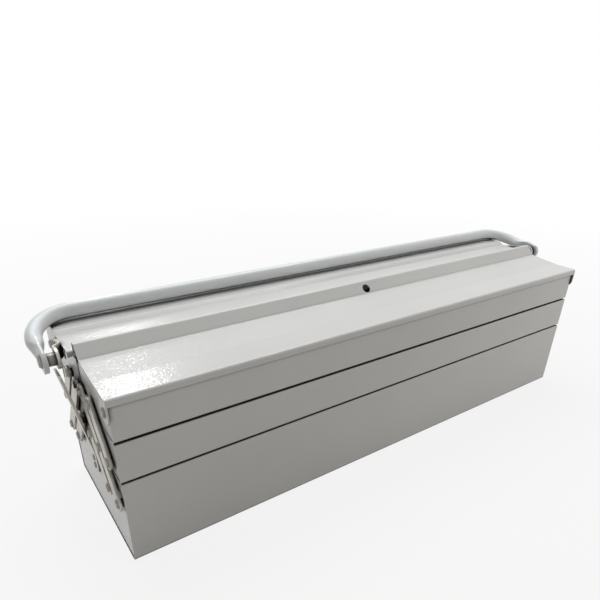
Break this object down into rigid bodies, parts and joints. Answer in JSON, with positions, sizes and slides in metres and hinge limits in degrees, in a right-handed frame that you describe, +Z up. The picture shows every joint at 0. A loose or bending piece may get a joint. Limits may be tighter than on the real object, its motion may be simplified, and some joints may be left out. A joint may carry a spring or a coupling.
{
  "type": "tool box",
  "caption": "Long steel cantilever tool box: stacked trays that swing apart on end arms, hinged lids and a folding tube handle.",
  "frame": {"origin": "middle of the underside of the base", "axes": "+X along the length, +Y from the front to the rear, +Z up; the front lid with the lock hole faces -Y"},
  "size_m": [0.6056, 0.148, 0.1695],
  "materials": {
    "box_paint": "light grey gloss stoved enamel with slight orange peel",
    "handle_paint": "light grey gloss enamel on bent steel tube",
    "arm_steel": "zinc plated steel strip",
    "rivet_steel": "bright plated steel"
  },
  "bodies": {
    "base": {"base_shell": "box_paint", "base_end_left": "box_paint", "base_end_right": "box_paint", "base_pivots": "rivet_steel", "handle_post_left": "arm_steel", "handle_post_right": "arm_steel", "post_rivets": "rivet_steel"},
    "front_lower_tray": {"front_lower_shell": "box_paint", "front_lower_end_left": "box_paint", "front_lower_end_right": "box_paint", "front_lower_pivots": "rivet_steel"},
    "front_upper_tray": {"front_upper_shell": "box_paint", "front_upper_end_left": "box_paint", "front_upper_end_right": "box_paint", "front_upper_pivots": "rivet_steel"},
    "front_main_arms": {"front_main_arm_left": "arm_steel", "front_main_arm_right": "arm_steel"},
    "front_lower_links": {"front_lower_link_left": "arm_steel", "front_lower_link_right": "arm_steel"},
    "front_upper_links": {"front_upper_link_left": "arm_steel", "front_upper_link_right": "arm_steel"},
    "front_cover": {"front_lid": "box_paint"},
    "rear_lower_tray": {"rear_lower_shell": "box_paint", "rear_lower_end_left": "box_paint", "rear_lower_end_right": "box_paint", "rear_lower_pivots": "rivet_steel"},
    "rear_upper_tray": {"rear_upper_shell": "box_paint", "rear_upper_end_left": "box_paint", "rear_upper_end_right": "box_paint", "rear_upper_pivots": "rivet_steel"},
    "rear_main_arms": {"rear_main_arm_left": "arm_steel", "rear_main_arm_right": "arm_steel"},
    "rear_lower_links": {"rear_lower_link_left": "arm_steel", "rear_lower_link_right": "arm_steel"},
    "rear_upper_links": {"rear_upper_link_left": "arm_steel", "rear_upper_link_right": "arm_steel"},
    "rear_cover": {"rear_lid": "box_paint", "handle_bracket_left": "arm_steel", "handle_bracket_right": "arm_steel", "bracket_rivets": "rivet_steel", "handle_pivots": "rivet_steel"},
    "carry_handle": {"handle": "handle_paint"}
  },
  "joints": [
    {"name": "front_swing", "type": "hinge", "parent": "base", "child": "front_main_arms", "pos_m": [0, -0.064, 0.054], "axis": [1, 0, 0], "range_deg": [0, 79]},
    {"name": "front_lower_link_swing", "type": "hinge", "parent": "base", "child": "front_lower_links", "pos_m": [0, -0.042, 0.054], "axis": [1, 0, 0], "range_deg": [0, 79]},
    {"name": "front_lower_level", "type": "hinge", "parent": "front_main_arms", "child": "front_lower_tray", "pos_m": [0, -0.03545, 0.088], "axis": [1, 0, 0], "range_deg": [-79, 0]},
    {"name": "front_upper_level", "type": "hinge", "parent": "front_main_arms", "child": "front_upper_tray", "pos_m": [0, -0.0069, 0.122], "axis": [1, 0, 0], "range_deg": [-79, 0]},
    {"name": "front_upper_link_swing", "type": "hinge", "parent": "front_lower_tray", "child": "front_upper_links", "pos_m": [0, -0.05745, 0.088], "axis": [1, 0, 0], "range_deg": [0, 79]},
    {"name": "front_lid_hinge", "type": "hinge", "parent": "front_upper_tray", "child": "front_cover", "pos_m": [0, -0.0655, 0.1335], "axis": [1, 0, 0], "range_deg": [0, 88]},
    {"name": "rear_swing", "type": "hinge", "parent": "base", "child": "rear_main_arms", "pos_m": [0, 0.064, 0.054], "axis": [-1, 0, 0], "range_deg": [0, 79]},
    {"name": "rear_lower_link_swing", "type": "hinge", "parent": "base", "child": "rear_lower_links", "pos_m": [0, 0.042, 0.054], "axis": [-1, 0, 0], "range_deg": [0, 79]},
    {"name": "rear_lower_level", "type": "hinge", "parent": "rear_main_arms", "child": "rear_lower_tray", "pos_m": [0, 0.03545, 0.088], "axis": [-1, 0, 0], "range_deg": [-79, 0]},
    {"name": "rear_upper_level", "type": "hinge", "parent": "rear_main_arms", "child": "rear_upper_tray", "pos_m": [0, 0.0069, 0.122], "axis": [-1, 0, 0], "range_deg": [-79, 0]},
    {"name": "rear_upper_link_swing", "type": "hinge", "parent": "rear_lower_tray", "child": "rear_upper_links", "pos_m": [0, 0.05745, 0.088], "axis": [-1, 0, 0], "range_deg": [0, 79]},
    {"name": "rear_lid_hinge", "type": "hinge", "parent": "rear_upper_tray", "child": "rear_cover", "pos_m": [0, 0.0655, 0.1335], "axis": [-1, 0, 0], "range_deg": [0, 88]},
    {"name": "handle_fold", "type": "hinge", "parent": "rear_cover", "child": "carry_handle", "pos_m": [0, 0, 0.1495], "axis": [1, 0, 0], "range_deg": [0, 80]}
  ],
  "couplings": [
    {"joint": "front_lower_link_swing", "follows": "front_swing", "ratio": 1},
    {"joint": "front_lower_level", "follows": "front_swing", "ratio": -1},
    {"joint": "front_upper_level", "follows": "front_swing", "ratio": -1},
    {"joint": "front_upper_link_swing", "follows": "front_swing", "ratio": 1},
    {"joint": "rear_lower_link_swing", "follows": "rear_swing", "ratio": 1},
    {"joint": "rear_lower_level", "follows": "rear_swing", "ratio": -1},
    {"joint": "rear_upper_level", "follows": "rear_swing", "ratio": -1},
    {"joint": "rear_upper_link_swing", "follows": "rear_swing", "ratio": 1}
  ]
}
